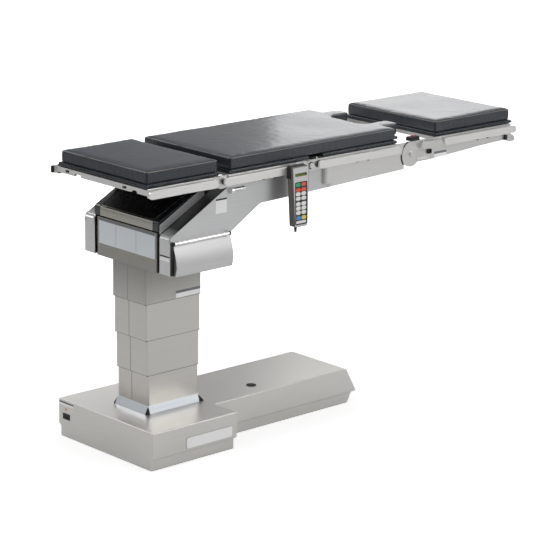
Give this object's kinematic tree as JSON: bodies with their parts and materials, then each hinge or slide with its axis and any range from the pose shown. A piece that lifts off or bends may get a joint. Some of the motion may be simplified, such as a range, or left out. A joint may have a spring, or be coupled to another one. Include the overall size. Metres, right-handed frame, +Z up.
{
  "type": "operating table",
  "caption": "Powered operating table: telescoping offset column on a T-shaped base, tilting head housing, side arms, hinged head, back, seat and leg sections with cushions and side rails.",
  "frame": {"origin": "on the floor, under the centre of the wide block of the base", "axes": "+X from the head end to the leg end, +Y to the far side (away from the handset), +Z up"},
  "size_m": [1.942, 0.612, 1.1226],
  "materials": {
    "stainless": "satin",
    "rail_steel": "satin",
    "collar_steel": "satin",
    "chrome": "polished",
    "cast_steel": "matte",
    "black_plastic": "satin",
    "cap_trim": "gloss",
    "phenolic": "satin",
    "vinyl": "satin",
    "rubber": "matte",
    "red_plastic": "gloss",
    "lamp_lens": "gloss",
    "handset_plastic": "satin"
  },
  "bodies": {
    "base": {"base_chassis": "cast_steel", "base_hood": "stainless", "tail_plug": "rubber", "switch_bezel": "black_plastic", "pilot_lamp": "lamp_lens", "power_unit": "cast_steel", "column_collar": "collar_steel", "collar_gasket": "rubber", "column_cover_4": "stainless", "mast_outer": "cast_steel"},
    "power_switch": {"power_rocker": "black_plastic"},
    "lift": {"column_cover_1": "stainless", "mast_inner": "cast_steel", "column_head": "cast_steel"},
    "cover_second": {"column_cover_2": "stainless"},
    "cover_third": {"column_cover_3": "stainless"},
    "mast_second": {"mast_middle": "cast_steel"},
    "carriage": {"tilt_spider": "cast_steel", "front_panel": "stainless", "top_cap": "stainless", "cap_trim_near": "cap_trim", "cap_trim_far": "cap_trim", "carriage_shroud": "black_plastic", "tilt_drive": "cast_steel"},
    "table": {"trunnion_shaft": "rail_steel", "arm_near": "stainless", "arm_far": "stainless", "drive_cover": "stainless", "grab_rod": "chrome", "trendelenburg_drive": "cast_steel", "seat_frame": "stainless", "seat_top": "phenolic", "seat_rail_near": "rail_steel", "seat_rail_far": "rail_steel", "seat_pad": "vinyl", "cushion_fold": "vinyl"},
    "back": {"back_frame": "stainless", "back_top": "phenolic", "back_rail_near": "rail_steel", "back_rail_far": "rail_steel", "back_pad": "vinyl"},
    "head": {"head_frame": "stainless", "head_top": "phenolic", "head_rail_near": "rail_steel", "head_rail_far": "rail_steel", "head_pad": "vinyl"},
    "leg": {"leg_frame": "stainless", "leg_bracket_near": "stainless", "leg_bracket_far": "stainless", "leg_top": "phenolic", "leg_rail_near": "rail_steel", "leg_rail_far": "rail_steel", "leg_pad": "vinyl", "latch_housing_near": "black_plastic", "latch_housing_far": "black_plastic"},
    "button_near": {"latch_button_near": "red_plastic"},
    "button_far": {"latch_button_far": "red_plastic"},
    "lever_near": {"leg_lever_near": "rail_steel"},
    "lever_far": {"leg_lever_far": "rail_steel"},
    "handset": {"handset": "handset_plastic"}
  },
  "joints": [
    {"name": "lift", "type": "slide", "parent": "base", "child": "lift", "axis": [0, 0, 1], "range_m": [-0.38, 0]},
    {"name": "cover_second_slide", "type": "slide", "parent": "base", "child": "cover_second", "axis": [0, 0, 1], "range_m": [-0.2432, 0]},
    {"name": "cover_third_slide", "type": "slide", "parent": "base", "child": "cover_third", "axis": [0, 0, 1], "range_m": [-0.1064, 0]},
    {"name": "mast_second_slide", "type": "slide", "parent": "base", "child": "mast_second", "axis": [0, 0, 1], "range_m": [-0.19, 0]},
    {"name": "lateral_tilt", "type": "hinge", "parent": "lift", "child": "carriage", "pos_m": [0.05, 0, 0.805], "axis": [1, 0, 0], "range_deg": [-20, 20]},
    {"name": "trendelenburg", "type": "hinge", "parent": "carriage", "child": "table", "pos_m": [0.05, 0, 0.805], "axis": [0, 1, 0], "range_deg": [-25, 25]},
    {"name": "back_lift", "type": "hinge", "parent": "table", "child": "back", "pos_m": [0.576, 0, 1.041], "axis": [0, 1, 0], "range_deg": [0, 80], "deforming": ["cushion_fold"]},
    {"name": "head_tilt", "type": "hinge", "parent": "back", "child": "head", "pos_m": [0.14, 0, 1.052], "axis": [0, -1, 0], "range_deg": [-45, 25]},
    {"name": "leg_tilt", "type": "hinge", "parent": "table", "child": "leg", "pos_m": [1.117, 0, 1.012], "axis": [0, -1, 0], "range_deg": [-90, 0]},
    {"name": "handset_lift", "type": "slide", "parent": "back", "child": "handset", "axis": [0, 0, 1], "range_m": [0, 0.03]},
    {"name": "switch_rock", "type": "hinge", "parent": "base", "child": "power_switch", "pos_m": [-0.2, 0.2375, 0.0826], "axis": [0, 0, -1], "range_deg": [0, 14]},
    {"name": "button_near_press", "type": "slide", "parent": "leg", "child": "button_near", "axis": [0, 0, -1], "range_m": [0, 0.003], "stiffness_N_per_m": 800},
    {"name": "button_far_press", "type": "slide", "parent": "leg", "child": "button_far", "axis": [0, 0, -1], "range_m": [0, 0.003], "stiffness_N_per_m": 800},
    {"name": "lever_near_turn", "type": "hinge", "parent": "leg", "child": "lever_near", "pos_m": [1.148, -0.2815, 0.993], "axis": [0, -1, 0], "range_deg": [0, 20], "stiffness_Nm_per_rad": 0.3},
    {"name": "lever_far_turn", "type": "hinge", "parent": "leg", "child": "lever_far", "pos_m": [1.148, 0.2815, 0.993], "axis": [0, -1, 0], "range_deg": [0, 20], "stiffness_Nm_per_rad": 0.3}
  ],
  "couplings": [
    {"joint": "cover_second_slide", "follows": "lift", "ratio": 0.64},
    {"joint": "cover_third_slide", "follows": "lift", "ratio": 0.28},
    {"joint": "mast_second_slide", "follows": "lift", "ratio": 0.5}
  ]
}
